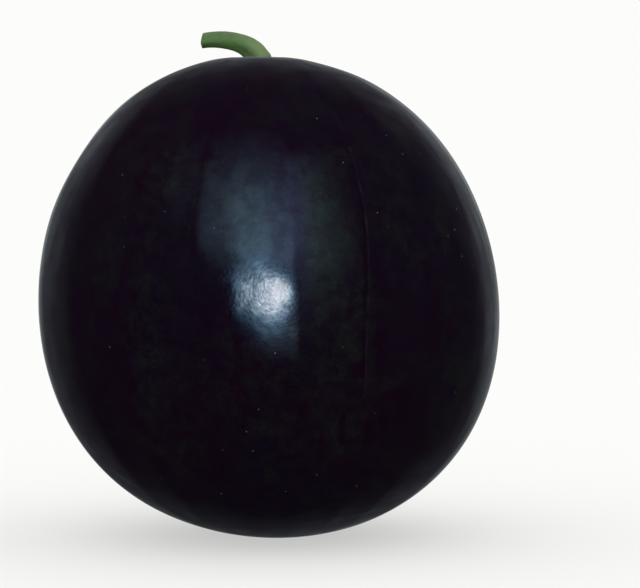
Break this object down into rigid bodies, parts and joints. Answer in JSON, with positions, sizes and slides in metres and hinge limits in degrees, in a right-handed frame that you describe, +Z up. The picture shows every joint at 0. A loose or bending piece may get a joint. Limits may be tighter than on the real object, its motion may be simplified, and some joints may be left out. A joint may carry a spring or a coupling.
{
  "type": "whole watermelon",
  "caption": "Round dark-skinned watermelon, whole, slightly ribbed, with a bent stub of green stem; rests upright on a small flat spot.",
  "frame": {"origin": "on the surface that the fruit stands on, under its middle", "axes": "+Z up through the fruit towards its stem, -Y the front, the stem bends over towards -X"},
  "size_m": [0.2404, 0.2401, 0.2624],
  "materials": {
    "rind": "waxy gloss, nearly black with dark green mottling",
    "stem": "satin, fresh green, lengthwise ribs"
  },
  "bodies": {
    "root": {"fruit": "rind", "stem": "stem"}
  },
  "joints": []
}
